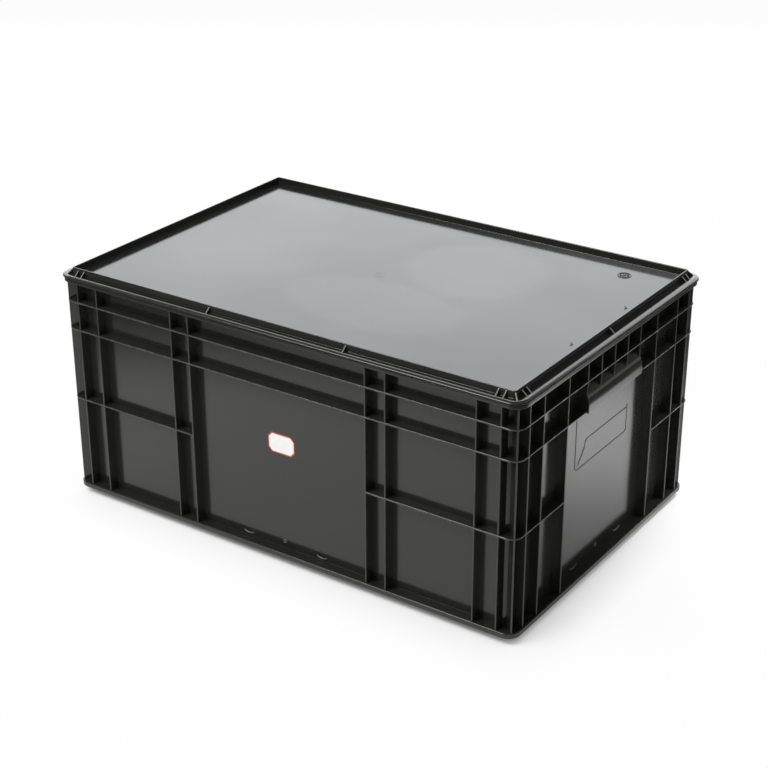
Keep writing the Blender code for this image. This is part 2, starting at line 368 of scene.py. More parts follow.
def unguarded(tree, place, guard):  # 0 inside a band of heights near the middle, 1 elsewhere
    half, low, high = guard
    parts = partsOf(tree, place)
    near = maths(tree, 'LESS_THAN', maths(tree, 'ABSOLUTE', parts["Y"]), half)
    level = maths(tree, 'COMPARE', parts["Z"], (low + high) / 2, (high - low) / 2)
    return maths(tree, 'SUBTRACT', 1.0, maths(tree, 'MULTIPLY', near, level))


def plasticFinish(name, look, glossFilm=None, paintedHighlight=None):
    material, tree, shader, place = newFinish(name)
    skin = useGroup(tree, mouldSkin, {
        "Vector": place, "Grain Scale": look["grainScale"], "Cloud Scale": look["cloudScale"]})
    halfX, halfY, corner = look["rubAndHighlightPlan"]
    rubAndHighlight = useGroup(tree, rubbedEdges, {
        "Vector": place, "Half X": halfX, "Half Y": halfY, "Corner": corner, "Top": look["rubAndHighlightTop"],
        "Depth": look["rubAndHighlightDepth"], "Patch Scale": look["patchScale"]})["Mask"]
    if look["guard"]:
        rubAndHighlight = maths(tree, 'MULTIPLY', rubAndHighlight, unguarded(tree, place, look["guard"]))
    scuff = useGroup(tree, hairScuffs, {
        "Vector": place, "Stretch": look["scuffStretch"], "Turn": look["scuffTurn"],
        "Amount": look["scuffs"]})["Mask"]
    colour = mixColours(tree, skin["Cloud"], look["colour"], look["cloudColour"])
    # pale rubbed wear on the edges, partly a painted highlight
    wornAndHighlit = mixColours(tree, rubAndHighlight, colour, look["rubAndHighlightColour"])
    # painted highlight on the web edges
    if paintedHighlight:
        wornAndHighlit = mixColours(tree, paintedHighlight(tree, place), wornAndHighlit, webHighlight["colour"])
    tree.links.new(wornAndHighlit, shader["Base Color"])
    rough = maths(tree, 'MULTIPLY_ADD', skin["Cloud"], look["cloudRoughness"], look["roughness"])
    rough = maths(tree, 'MULTIPLY_ADD', rubAndHighlight, look["rubRoughness"], rough)
    rough = maths(tree, 'MULTIPLY_ADD', scuff, look["scuffRoughness"], rough)
    tree.links.new(rough, shader["Roughness"])
    if glossFilm:
        tree.links.new(glossFilm(tree, place), shader["Coat Weight"])
        shader["Coat Roughness"].default_value = flowMark["roughness"]
    wave = noise(tree, place, look["waveScale"], detail=1.0)
    slow = addNode(tree, 'ShaderNodeBump', {
        "Strength": 1.0, "Distance": look["waveHeight"], "Height": wave[0]})
    fine = addNode(tree, 'ShaderNodeBump', {
        "Strength": 1.0, "Distance": look["grainHeight"], "Height": skin["Grain"], "Normal": slow.outputs[0]})
    tree.links.new(fine.outputs[0], shader["Normal"])
    shader["Specular IOR Level"].default_value = look["gloss"]
    return material


flowMark = {  # two lobes round the gate, where the melt froze a little smoother
    "lobes": (((0.085, 0.072), (0.082, 0.080)), ((0.040, -0.074), (0.108, 0.062))),  # centre and half sizes
    "blend": 0.25, "edge": 0.15, "waver": 0.02, "waverScale": 13.0, "film": 0.09,
    "clouds": 0.16, "cloudScale": 5.0, "cloudRange": (0.35, 0.75), "roughness": 0.1,
}


def flowFilm(tree, place):
    mark = flowMark
    waver = noise(tree, place, mark["waverScale"], detail=2.0)
    moved = vectorMaths(tree, 'SUBTRACT', waver["Color"], (0.5, 0.5, 0.5))
    moved = vectorMaths(tree, 'SCALE', moved, mark["waver"])
    parts = partsOf(tree, vectorMaths(tree, 'ADD', place, moved))
    nearest = None
    for centre, halves in mark["lobes"]:
        along, across = [
            maths(tree, 'DIVIDE', maths(tree, 'SUBTRACT', parts[i], centre[i]), halves[i]) for i in (0, 1)]
        away = maths(tree, 'MULTIPLY_ADD', along, along, maths(tree, 'MULTIPLY', across, across))
        away = maths(tree, 'SQRT', away)
        nearest = maths(tree, 'SMOOTH_MIN', nearest, away, mark["blend"]) if nearest else away
    inside = ranged(tree, nearest, (1.0 + mark["edge"], 1.0 - mark["edge"]), soft=True)
    cloud = noise(tree, place, mark["cloudScale"], detail=3.0)
    clouds = ranged(tree, cloud[0], mark["cloudRange"], high=mark["clouds"])
    return maths(tree, 'MULTIPLY_ADD', inside, mark["film"], clouds)


# colour and band of the painted highlight on the web edges
webHighlight = {"colour": (0.20, 0.20, 0.19), "band": 0.0008, "from": 0.0008}


def paintedWebHighlight(tree, place):  # painted highlight along the sloping edges of the small webs, which fall outwards from the ridge
    glint = webHighlight
    (nearX, top), (farX, foot) = webSlope()[:2]
    fall = (top - foot) / (farX - nearX)
    away, height = planDistance(tree, place, *ridgePlan)
    edge = maths(tree, 'SUBTRACT', top + nearX * fall, maths(tree, 'MULTIPLY', away, fall))
    gap = maths(tree, 'ABSOLUTE', maths(tree, 'SUBTRACT', height, edge))
    band = ranged(tree, gap, (glint["band"], glint["band"] / 2), soft=True)
    span = maths(tree, 'COMPARE', away, (glint["from"] + farX) / 2, (farX - glint["from"]) / 2)
    return maths(tree, 'MULTIPLY', band, span)


crateBlack = plasticFinish("crateBlack", cratePlastic)
# the pips' pale colour is a painted highlight
wornBlack = plasticFinish("wornBlack", pipHighlightPlastic)
print("crate finish ready")


# Open crate: plain shell first, then ribs, hoods and cells

crateSizes = {
    "cornerSteps": 14, "softSteps": 4, "cornerRadius": 0.0155,
    "rimOverhang": 0.0025, "flangeOverhang": 0.0012, "ribDepth": 0.012, "wallRadius": 0.012,
    "wall": 0.0025, "draft": 0.0008, "rimWall": 0.003, "footInset": 0.0015,
    "footHeight": 0.008, "flangeHeight": 0.006, "floor": 0.003,
    "rimFace": 0.0041, "rimLip": 0.0028, "rimPlate": 0.0025,
    "capInset": 0.008, "floorRound": 0.003, "edgeRound": 0.0010, "smallRound": 0.0005, "wallFoot": 0.0001,
}
rimPlan = (crateHigh.x, crateHigh.y, crateSizes["cornerRadius"])
ribPlan = grown(rimPlan, -crateSizes["rimOverhang"])
flangePlan = grown(ribPlan, crateSizes["flangeOverhang"])
wallPlan = (*[half - crateSizes["ribDepth"] for half in ribPlan[:2]], crateSizes["wallRadius"])
wallMiddle = grown(wallPlan, -crateSizes["wall"] / 2)
insidePlan = grown(wallPlan, -crateSizes["wall"])
footPlan = grown(insidePlan, -crateSizes["footInset"])
rimTop = crateHigh.z
baseTop = crateSizes["footHeight"] + crateSizes["flangeHeight"]
floorTop = crateSizes["footHeight"] + crateSizes["floor"]
rimUnder = rimTop - crateSizes["rimFace"]
plateTop = rimTop - crateSizes["rimLip"]
plateUnder = plateTop - crateSizes["rimPlate"]


def crateShell():
    sizes = crateSizes
    rimInside = grown(rimPlan, -sizes["rimWall"])
    floorPlan = grown(insidePlan, -sizes["draft"])
    sections = [
        (grown(footPlan, -sizes["capInset"]), 0, 0),
        (footPlan, 0, sizes["edgeRound"]),
        (footPlan, sizes["footHeight"], sizes["smallRound"]),
        (flangePlan, sizes["footHeight"], sizes["edgeRound"]),
        (flangePlan, baseTop, sizes["edgeRound"]),
        (wallPlan, baseTop, sizes["wallFoot"]),
        (wallPlan, plateUnder, sizes["smallRound"]),
        (ribPlan, plateUnder, sizes["smallRound"]),
        (ribPlan, rimUnder, sizes["smallRound"]),
        (rimPlan, rimUnder, sizes["smallRound"]),
        (rimPlan, rimTop, sizes["edgeRound"]),
        (rimInside, rimTop, sizes["smallRound"]),
        (rimInside, plateTop, sizes["smallRound"]),
        (insidePlan, plateTop, sizes["smallRound"]),
        (floorPlan, floorTop, sizes["floorRound"]),
        (grown(floorPlan, -sizes["capInset"]), floorTop, 0),
    ]
    return mouldedShell("crateBody", sections, sizes["cornerSteps"], sizes["softSteps"])


ribSizes = {
    "edge": 0.002, "root": 0.0026, "setback": 0.0003, "tipRound": 0.00085,
    "levelDrops": (0.0276, 0.0615, 0.1480),
    "cornerRib": 0.021, "secondRib": 0.049, "sidePair": (0.473, 0.390), "endInner": 0.4975,
    "gripRibs": 5, "gripPitch": 0.029, "overrun": 0.002, "weld": 0.000005,
}
levels = [rimTop - drop for drop in ribSizes["levelDrops"]]
sideRibs = [ribPlan[0] - ribSizes["cornerRib"], ribPlan[0] - ribSizes["secondRib"]]
sideRibs += [share * ribPlan[0] for share in ribSizes["sidePair"]]
endRibs = [ribPlan[1] - ribSizes["cornerRib"], ribPlan[1] - ribSizes["secondRib"]]
endRibs += [ribSizes["endInner"] * ribPlan[1]]
gripRibs = [(i - (ribSizes["gripRibs"] - 1) / 2) * ribSizes["gripPitch"] for i in range(ribSizes["gripRibs"])]


def ownValue(tree, name):  # a value that each point carries
    return addNode(tree, 'GeometryNodeInputNamedAttribute', {"Name": name}, data_type='FLOAT').outputs[0]


def dressedEnd(tree, given, result, geometry):  # real meshes with the finish on them
    real = addNode(tree, 'GeometryNodeRealizeInstances', {0: geometry}).outputs[0]
    dressed = addNode(tree, 'GeometryNodeSetMaterial', {"Geometry": real, "Material": given["Material"]})
    tree.links.new(dressed.outputs[0], result["Geometry"])


def taperedProfile(tree, given, sign):  # rounded blade, its tip at 0 and its root a depth away
    far = maths(tree, 'MULTIPLY', given["Depth"], sign)
    corners = ((0.0, "Edge", 0.5), (far, "Root", 0.5), (far, "Root", -0.5), (0.0, "Edge", -0.5))
    points = {}
    for i, (x, thickness, share) in enumerate(corners):
        points["Point %d" % (i + 1)] = vectorOf(tree, x, maths(tree, 'MULTIPLY', given[thickness], share))
    blade = addNode(tree, 'GeometryNodeCurvePrimitiveQuadrilateral', points, mode='POINTS').outputs[0]
    rounded = addNode(tree, 'GeometryNodeFilletCurve', {
        "Curve": blade, "Count": 4, "Radius": given["Tip Round"], "Limit Radius": True}, mode='POLY')
    return rounded.outputs[0]


def standingRibTree():
    tree, given, result = newTree("standingRibs", 'GeometryNodeTree', [
        ("Geometry", "Geometry"), ("Depth", "Float"), ("Edge", "Float"), ("Root", "Float"),
        ("Tip Round", "Float"), ("Material", "Material")], [("Geometry", "Geometry")])
    profile = taperedProfile(tree, given, -1.0)
    line = addNode(tree, 'GeometryNodeCurvePrimitiveLine', {"Start": (0, 0, 0), "End": (0, 0, 1)}).outputs[0]
    blade = addNode(tree, 'GeometryNodeCurveToMesh', {
        "Curve": line, "Profile Curve": profile, "Fill Caps": True}).outputs[0]
    placed = addNode(tree, 'GeometryNodeInstanceOnPoints', {
        "Points": given["Geometry"], "Instance": blade,
        "Rotation": vectorOf(tree, z=ownValue(tree, "turn")),
        "Scale": vectorOf(tree, 1.0, 1.0, ownValue(tree, "rise"))}).outputs[0]
    dressedEnd(tree, given, result, placed)
    return tree


def levelRibTree():  # a blade lofted between the outline of its free edge and the one in the wall
    tree, given, result = newTree("levelRib", 'GeometryNodeTree', [
        ("Geometry", "Geometry"), ("Length", "Float"), ("Width", "Float"), ("Outer Radius", "Float"),
        ("Inner Radius", "Float"), ("Depth", "Float"), ("Edge", "Float"), ("Root", "Float"),
        ("Tip Round", "Float"), ("Height", "Float"), ("Corner Steps", "Int"), ("Material", "Material")],
        [("Geometry", "Geometry")])
    inset = maths(tree, 'MULTIPLY', given["Depth"], -2.0)
    outlines = []
    for shrink, radius in ((0.0, given["Outer Radius"]), (inset, given["Inner Radius"])):
        plan = addNode(tree, 'GeometryNodeCurvePrimitiveQuadrilateral', {
            "Width": maths(tree, 'ADD', given["Length"], shrink),
            "Height": maths(tree, 'ADD', given["Width"], shrink)}, mode='RECTANGLE').outputs[0]
        outlines.append(addNode(tree, 'GeometryNodeFilletCurve', {
            "Curve": plan, "Count": given["Corner Steps"], "Radius": radius}, mode='POLY').outputs[0])
    profile = taperedProfile(tree, given, 1.0)
    counts = []
    for curve in (outlines[0], profile):
        size = addNode(tree, 'GeometryNodeAttributeDomainSize', {0: curve}, component='CURVE')
        counts.append(size.outputs["Point Count"])
    columns, rows = [wholeMaths(tree, 'ADD', count, 1) for count in counts]
    grid = addNode(tree, 'GeometryNodeMeshGrid', {"Vertices X": columns, "Vertices Y": rows}).outputs[0]
    index = addNode(tree, 'GeometryNodeInputIndex').outputs[0]
    column = wholeMaths(tree, 'MODULO', wholeMaths(tree, 'DIVIDE_FLOOR', index, rows), counts[0])
    row = wholeMaths(tree, 'MODULO', wholeMaths(tree, 'MODULO', index, rows), counts[1])
    place = addNode(tree, 'GeometryNodeInputPosition').outputs[0]
    found = []
    for curve, number in ((outlines[0], column), (outlines[1], column), (profile, row)):
        feeds = {"Geometry": curve, "Value": place, "Index": number}
        sample = addNode(tree, 'GeometryNodeSampleIndex', feeds, data_type='FLOAT_VECTOR', domain='POINT')
        found.append(sample.outputs[0])
    across = partsOf(tree, found[2])
    share = maths(tree, 'DIVIDE', across["X"], given["Depth"])
    inward = vectorMaths(tree, 'SCALE', vectorMaths(tree, 'SUBTRACT', found[1], found[0]), share)
    height = vectorOf(tree, z=maths(tree, 'ADD', across["Y"], given["Height"]))
    spot = vectorMaths(tree, 'ADD', vectorMaths(tree, 'ADD', found[0], inward), height)
    moved = addNode(tree, 'GeometryNodeSetPosition', {"Geometry": grid, "Position": spot}).outputs[0]
    closed = addNode(tree, 'GeometryNodeMergeByDistance', {
        "Geometry": moved, "Distance": ribSizes["weld"]}).outputs[0]
    dressedEnd(tree, given, result, closed)
    return tree


def piecePatternTree():  # copies of one small piece, turned about the upright
    tree, given, result = newTree("piecePattern", 'GeometryNodeTree', [
        ("Geometry", "Geometry"), ("Piece", "Object"), ("Material", "Material")], [("Geometry", "Geometry")])
    piece = addNode(tree, 'GeometryNodeObjectInfo', {"Object": given["Piece"]}).outputs["Geometry"]
    placed = addNode(tree, 'GeometryNodeInstanceOnPoints', {
        "Points": given["Geometry"], "Instance": piece,
        "Rotation": vectorOf(tree, z=ownValue(tree, "turn"))}).outputs[0]
    dressedEnd(tree, given, result, placed)
    return tree


def beadTree():  # a thin round bead along every line of a mesh
    tree, given, result = newTree("mouldedBead", 'GeometryNodeTree', [
        ("Geometry", "Geometry"), ("Bend Round", "Float"), ("Bead Radius", "Float"),
        ("Material", "Material")], [("Geometry", "Geometry")])
    line = addNode(tree, 'GeometryNodeMeshToCurve', {0: given["Geometry"]}).outputs[0]
    bent = addNode(tree, 'GeometryNodeFilletCurve', {
        "Curve": line, "Count": 5, "Radius": given["Bend Round"], "Limit Radius": True}, mode='POLY')
    ring = addNode(tree, 'GeometryNodeCurvePrimitiveCircle', {
        "Resolution": 10, "Radius": given["Bead Radius"]}).outputs[0]
    bead = addNode(tree, 'GeometryNodeCurveToMesh', {
        "Curve": bent.outputs[0], "Profile Curve": ring, "Fill Caps": True}).outputs[0]
    dressedEnd(tree, given, result, bead)
    return tree


standingRibs = standingRibTree()
levelRib = levelRibTree()
piecePattern = piecePatternTree()
mouldedBead = beadTree()


def ribRow(name, tips, low, high, depth):  # tips: x, y and the way that the rib points
    count = len(tips)
    points = pointMesh(name, [(x, y, low) for x, y, turn in tips],
                       turn=[turn for x, y, turn in tips], rise=[high - low] * count)
    return growTree(name, standingRibs, points, {
        "Depth": depth, "Edge": ribSizes["edge"], "Root": ribSizes["root"],
        "Tip Round": ribSizes["tipRound"], "Material": crateBlack})


def uprightRibs():
    low = baseTop - ribSizes["overrun"]
    high = plateUnder + crateSizes["rimPlate"] / 2
    edgeX = ribPlan[0] - ribSizes["setback"]
    edgeY = ribPlan[1] - ribSizes["setback"]
    near = Vector(cornerMiddle(wallMiddle))
    far = Vector(cornerMiddle(grown(ribPlan, -ribSizes["setback"])))
    slant = (far - near).angle_signed(Vector((1, 0)))
    walls, corners, grips = [], [], []
    for sx in (-1, 1):
        facingX = 0 if sx > 0 else math.pi
        for sy in (-1, 1):
            walls += [(sx * x, sy * edgeY, sy * math.pi / 2) for x in sideRibs]
            walls += [(sx * edgeX, sy * y, facingX) for y in endRibs]
            corners.append((sx * far.x, sy * far.y, sy * (slant if sx > 0 else math.pi - slant)))
        grips += [(sx * edgeX, y, facingX) for y in gripRibs]
    depth = edgeX - wallMiddle[0]
    return [
        ribRow("wallRibs", walls, low, high, depth),
        ribRow("cornerRibs", corners, low, high, (far - near).length),
        ribRow("gripRibs", grips, levels[1] + hoodSizes["face"], high, depth),
    ]


def levelRibs():
    made = []
    for i, height in enumerate(levels):
        rib = growTree("levelRib%d" % i, levelRib, pointMesh("start", [(0, 0, 0)]), {
            "Length": 2 * ribPlan[0], "Width": 2 * ribPlan[1], "Outer Radius": ribPlan[2],
            "Inner Radius": wallMiddle[2], "Depth": ribPlan[0] - wallMiddle[0],
            "Edge": ribSizes["edge"], "Root": ribSizes["root"], "Tip Round": ribSizes["tipRound"],
            "Height": height, "Corner Steps": crateSizes["cornerSteps"], "Material": crateBlack})
        made.append(rib)
    stopX, stopY = sideRibs[3], endRibs[2]  # the lowest rib leaves the middle bays open
    reach = 2 * ribPlan[0]
    gaps = []
    for halfX, halfY in ((stopX, reach), (reach, stopY)):
        plan = [(-halfX, -halfY), (halfX, -halfY), (halfX, halfY), (-halfX, halfY)]
        loops = [[(x, y, levels[2] + dz) for x, y in plan] for dz in (-ribSizes["root"], ribSizes["root"])]
        gaps.append(skinLoops("bayGap", loops))
    combine(made[2], gaps, 'DIFFERENCE')
    return made


hoodSizes = {
    "face": 0.0065, "radius": 0.025, "wall": 0.0025, "end": 0.0015, "arcSteps": 24,
    "endRound": 0.0007, "roundSteps": 4, "lipRound": 0.0006, "lipSteps": 3, "clearance": 0.0003,
}


def hoodArc(thickness, back):
    hood = hoodSizes
    centreX = rimPlan[0] - hood["radius"]
    centreZ = levels[1] + hood["face"]
    radius = hood["radius"] - thickness
    sweep = math.acos((back - centreX) / radius)
    turns = [sweep * i / hood["arcSteps"] for i in range(hood["arcSteps"] + 1)]
    return [(centreX + radius * math.cos(t), centreZ + radius * math.sin(t)) for t in turns]


def gripHoods():
    hood = hoodSizes
    back = wallMiddle[0]
    half = gripRibs[-1] + hood["end"]
    bottom = levels[1] - ribSizes["edge"] / 2
    ends = []  # inset and distance from the middle, round each end
    for i in range(hood["roundSteps"] + 1):
        t = math.pi / 2 * i / hood["roundSteps"]
        ends.append((hood["endRound"] * (1 - math.sin(t)), half - hood["endRound"] * (1 - math.cos(t))))
    along = [(inset, -y) for inset, y in ends] + [(inset, y) for inset, y in reversed(ends)]
    made = []
    for sx in (-1, 1):
        loops = []
        for inset, y in along:
            face = rimPlan[0] - inset
            lip = [(back, bottom + inset), (face, bottom + inset), (face, levels[1] + hood["face"])]
            lip = softened(lip, [hood["lipRound"]], hood["lipSteps"])
            section = [tuple(point) for point in lip[:-1]] + hoodArc(inset, back)
            loops.append([(sx * x, y, z) for x, z in section])
        made.append(skinLoops("gripHood", loops))
    return made


def fingerSpaces():
    hood = hoodSizes
    back = wallPlan[0] - hood["clearance"]
    low = levels[1] - ribSizes["root"] / 2 - hood["clearance"]
    half = gripRibs[-1] + hood["end"] - hood["wall"]
    section = [(back, low), (rimPlan[0] - hood["wall"], low)] + hoodArc(hood["wall"], back)
    made = []
    for sx in (-1, 1):
        loops = [[(sx * x, y, z) for x, z in section] for y in (-half, half)]
        made.append(skinLoops("fingerSpace", loops))
    return made


baseSizes = {
    "cells": (6, 4), "web": 0.0022, "footWall": 0.003, "cellRadius": 0.003, "overrun": 0.002,
    "cellInset": 0.002, "cornerSteps": 4, "softSteps": 2,
}


def baseCells():
    base = baseSizes
    pitch = [(2 * (footPlan[i] - base["footWall"]) + base["web"]) / base["cells"][i] for i in (0, 1)]
    plan = (pitch[0] / 2 - base["web"] / 2, pitch[1] / 2 - base["web"] / 2, base["cellRadius"])
    ceiling = crateSizes["footHeight"]
    cell = mouldedShell("baseCell", [
        (plan, -base["overrun"], 0), (plan, ceiling, crateSizes["smallRound"]),
        (grown(plan, -base["cellInset"]), ceiling, 0)], base["cornerSteps"], base["softSteps"])
    rows = [[(i + 0.5 - count / 2) * step for i in range(count)] for count, step in zip(base["cells"], pitch)]
    points = [(x, y, 0) for x in rows[0] for y in rows[1]]
    cells = growTree("baseCells", piecePattern, pointMesh("cellPoints", points, turn=[0.0] * len(points)),
                     {"Piece": cell, "Material": crateBlack})
    bpy.data.objects.remove(cell)
    return cells


crateBody = crateShell()
combine(crateBody, levelRibs() + uprightRibs() + gripHoods(), 'UNION')
combine(crateBody, fingerSpaces() + [baseCells()], 'DIFFERENCE')
crateBody.data.materials.clear()
crateBody.data.materials.append(crateBlack)
smoothSkin(crateBody)
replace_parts(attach(crateBody, "crate"), "crate_body")
print("crate body:", len(crateBody.data.polygons), "faces")


# Lid: sunk panel, ridge, ledge, lip and plug, with small webs outside the ridge

lidSizes = {
    "cornerSteps": 14, "softSteps": 4, "lipRadius": 0.017,
    "seat": 0.0003, "panelDrop": 0.0080, "ridge": 0.0019, "ridgeDraft": 0.0008, "ridgeRadius": 0.003,
    "ledgeEnd": 0.0137, "ledgeSide": 0.0112, "ledgeDrop": 0.0076, "ledgeFall": -0.0004,
    "lipWall": 0.0025, "lipSlope": 0.0048, "lipFall": 0.0008, "lipRound": 0.0030,
    "slopeRound": 0.0015, "lipFoot": 0.0005, "lipGap": 0.0012,
    "plugDepth": 0.006, "plugWall": 0.002, "plugClearance": 0.0008,
    "panelRound": 0.0005, "ridgeRound": 0.0008, "smallRound": 0.0005, "capInset": 0.006,
}
webSizes = {
    "thickness": 0.0014, "foot": 0.0074, "fromCorner": (0.0104, 0.0187), "sideShare": 0.295,
    "round": 0.00025, "edgeRows": ((0, 1.0), (0.5, 0.25), (1.0, 0)),  # shares of the round: inset and drop
}
lipPlan = (lidHigh.x, lidHigh.y, lidSizes["lipRadius"])
ridgePlan = (
    lipPlan[0] - lidSizes["ledgeEnd"], lipPlan[1] - lidSizes["ledgeSide"], lidSizes["ridgeRadius"])
lidUnder = plateTop + lidSizes["seat"]
ridgeTop = lidHigh.z
panelTop = ridgeTop - lidSizes["panelDrop"]
ledgeIn = ridgeTop - lidSizes["ledgeDrop"]
ledgeOut = ledgeIn - lidSizes["ledgeFall"]


def lidSkin():
    sizes = lidSizes
    ridgeInner = grown(ridgePlan, -sizes["ridge"])
    panelPlan = grown(ridgeInner, -sizes["ridgeDraft"])
    plugPlan = grown(insidePlan, -sizes["plugClearance"])
    plugInner = grown(plugPlan, -sizes["ridgeDraft"] - sizes["plugWall"])
    lipInner = grown(lipPlan, -sizes["lipWall"])
    lipLow = rimTop + sizes["lipGap"]
    ledgeUnder = ledgeOut - sizes["lipWall"]
    plugLow = lidUnder - sizes["plugDepth"]
    small = sizes["smallRound"]
    sections = [
        (grown(panelPlan, -sizes["capInset"]), panelTop, 0),
        (panelPlan, panelTop, sizes["panelRound"]),
        (ridgeInner, ridgeTop, sizes["ridgeRound"]),
        (ridgePlan, ridgeTop, sizes["ridgeRound"]),
        (grown(ridgePlan, sizes["ridgeDraft"]), ledgeIn, sizes["panelRound"]),
        (grown(lipPlan, -sizes["lipSlope"]), ledgeOut, sizes["slopeRound"]),
        (lipPlan, ledgeOut - sizes["lipFall"], sizes["lipRound"]),
        (lipPlan, lipLow, sizes["lipFoot"]),
        (lipInner, lipLow, small),
        (lipInner, ledgeUnder, small),
        (ridgePlan, ledgeUnder, small),
        (ridgePlan, lidUnder, small),
        (plugPlan, lidUnder, small),
        (grown(plugPlan, -sizes["ridgeDraft"]), plugLow, small),
        (plugInner, plugLow, small),
        (plugInner, lidUnder, small),
        (grown(plugInner, -sizes["capInset"]), lidUnder, 0),
    ]
    return mouldedShell("lidShell", sections, sizes["cornerSteps"], sizes["softSteps"])


def webSlope():  # outline of a web: out from the ridge, and up, with a little of it sunk in the lid
    ridge = lidSizes["ridge"]
    tip = webSizes["foot"] + ridge / 4
    return [(-ridge / 2, ridgeTop - ridge / 8), (tip, ledgeIn - ridge / 8), (-ridge / 2, ledgeIn - ridge / 2)]


def ridgeWebs():
    sizes = webSizes
    half = sizes["thickness"] / 2
    slope = webSlope()
    loops = []  # narrower at both sides, so that the sloping edge is rounded
    for side in (-1, 1):
        for inset, drop in sizes["edgeRows"][::-side]:
            y = side * (half - inset * sizes["round"])
            loops.append([(x, y, z - drop * sizes["round"]) for x, z in slope])
    web = skinLoops("ridgeWeb", loops)
    corner = cornerMiddle(ridgePlan)
    spots = []
    for sx in (-1, 1):
        facingX = 0 if sx > 0 else math.pi
        for sy in (-1, 1):
            facingY = sy * math.pi / 2
            for away in sizes["fromCorner"]:
                spots.append((sx * (ridgePlan[0] - away), sy * ridgePlan[1], facingY))
                spots.append((sx * ridgePlan[0], sy * (ridgePlan[1] - away), facingX))
            spots.append((sx * corner[0], sy * corner[1], sy * (math.pi / 4 if sx > 0 else math.pi * 3 / 4)))
            spots.append((sx * sizes["sideShare"] * lipPlan[0], sy * ridgePlan[1], facingY))
        spots.append((sx * ridgePlan[0], 0, facingX))
    points = pointMesh("webPoints", [(x, y, 0) for x, y, turn in spots], turn=[turn for x, y, turn in spots])
    webs = growTree("ridgeWebs", piecePattern, points, {"Piece": web, "Material": lidBlack})
    bpy.data.objects.remove(web)
    return webs


lidBlack = plasticFinish("lidBlack", lidPlastic, flowFilm, paintedWebHighlight)
lidShell = lidSkin()
combine(lidShell, [ridgeWebs()], 'UNION')
lidShell.data.materials.clear()
lidShell.data.materials.append(lidBlack)
smoothSkin(lidShell)
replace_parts(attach(lidShell, "lid"), "lid")
print("lid:", len(lidShell.data.polygons), "faces")


# Small moulded marks: beads on the right end panel, at the foot of the walls and on the lid

markSizes = {"wallBead": 0.00045, "pipBead": 0.0009, "lidBead": 0.0007, "bend": 0.004, "ringPoints": 28}


def linesMesh(name, lines):  # lines: points, and whether the line closes
    verts, edges = [], []
    for points, closed in lines:
        start = len(verts)
        verts += points
        edges += [(start + i, start + i + 1) for i in range(len(points) - 1)]
        if closed:
            edges.append((start + len(points) - 1, start))
    mesh = bpy.data.meshes.new(name)
    mesh.from_pydata(verts, edges, [])
    return mesh


def ringLine(centre, radius, first, second, start=0.0, sweep=2 * math.pi):
    closed = sweep >= 2 * math.pi
    count = markSizes["ringPoints"]
    steps = count if closed else count - 1
    points = []
    for i in range(count):
        t = start + sweep * i / steps
        across = Vector(first) * radius * math.cos(t)
        points.append(tuple(Vector(centre) + across + Vector(second) * radius * math.sin(t)))
    return points, closed


labelFrame = {
    "left": -0.0566, "right": 0.0585, "low": 0.1365, "leftTop": 0.1968, "rightTop": 0.169,
    "innerTop": 0.1655, "innerLeft": -0.036, "innerGap": 0.002,
    "slantFoot": -0.050, "slantTop": 0.158, "slantLow": 0.142,
}
footPips = {
    "crescents": (-0.050, 0.050), "radius": 0.0125, "sweep": 1.2, "foot": 0.0024,
    "dot": 0.0215, "dotRadius": 0.0018,
}


def labelLines():  # a plain open frame
    label = labelFrame
    outer = [
        (label["left"], label["leftTop"]), (label["left"], label["low"]),
        (label["right"], label["low"]), (label["right"], label["rightTop"])]
    inner = [
        (label["right"] - label["innerGap"], label["innerTop"]), (label["innerLeft"], label["innerTop"]),
        (label["innerLeft"], label["slantTop"]), (label["slantFoot"], label["slantLow"])]
    return [([(wallPlan[0], y, z) for y, z in line], False) for line in (outer, inner)]


def pipLines():  # two crescents and a dot at the foot of each middle bay
    pips = footPips
    start = -math.pi / 2 - pips["sweep"] / 2
    up = Vector((0, 0, 1))
    rise = up * (baseTop + pips["foot"] + pips["radius"])
    lines = []
    for side in (1, -1):
        for foot, way in (((0, -wallPlan[1], 0), (1, 0, 0)), ((wallPlan[0], 0, 0), (0, 1, 0))):
            wall = Vector(foot) * side
            along = Vector(way) * side
            for middle in pips["crescents"]:
                centre = wall + along * middle + rise
                lines.append(ringLine(centre, pips["radius"], along, up, start, pips["sweep"]))
            lines.append(ringLine(wall + up * pips["dot"], pips["dotRadius"], along, up))
    return lines


lidMarks = {
    "dial": (0.2266, 0.1506), "dialRing": 0.0074, "dialPin": 0.0010,
    "ticks": 8, "tickSpan": (0.0030, 0.0054), "gateRing": 0.0055, "gateSink": 0.00055,
    "arcs": ((0.266, -0.0475), (0.268, 0.068)), "arcRadius": 0.0035, "arcStart": -0.8, "arcSweep": 2.4,
}


def lidMarkLines():
    marks = lidMarks
    flat = ((1, 0, 0), (0, 1, 0))
    dialX, dialY = marks["dial"]
    lines = []
    for radius in (marks["dialRing"], marks["dialPin"]):
        lines.append(ringLine((dialX, dialY, panelTop), radius, *flat))
    for i in range(marks["ticks"]):
        turn = 2 * math.pi * i / marks["ticks"]
        ends = [(dialX + r * math.cos(turn), dialY + r * math.sin(turn), panelTop) for r in marks["tickSpan"]]
        lines.append((ends, False))
    lines.append(ringLine((0, 0, panelTop - marks["gateSink"]), marks["gateRing"], *flat))
    arc = (marks["arcStart"], marks["arcSweep"])
    for spot in marks["arcs"]:
        lines.append(ringLine((*spot, panelTop), marks["arcRadius"], *flat, *arc))
    return lines


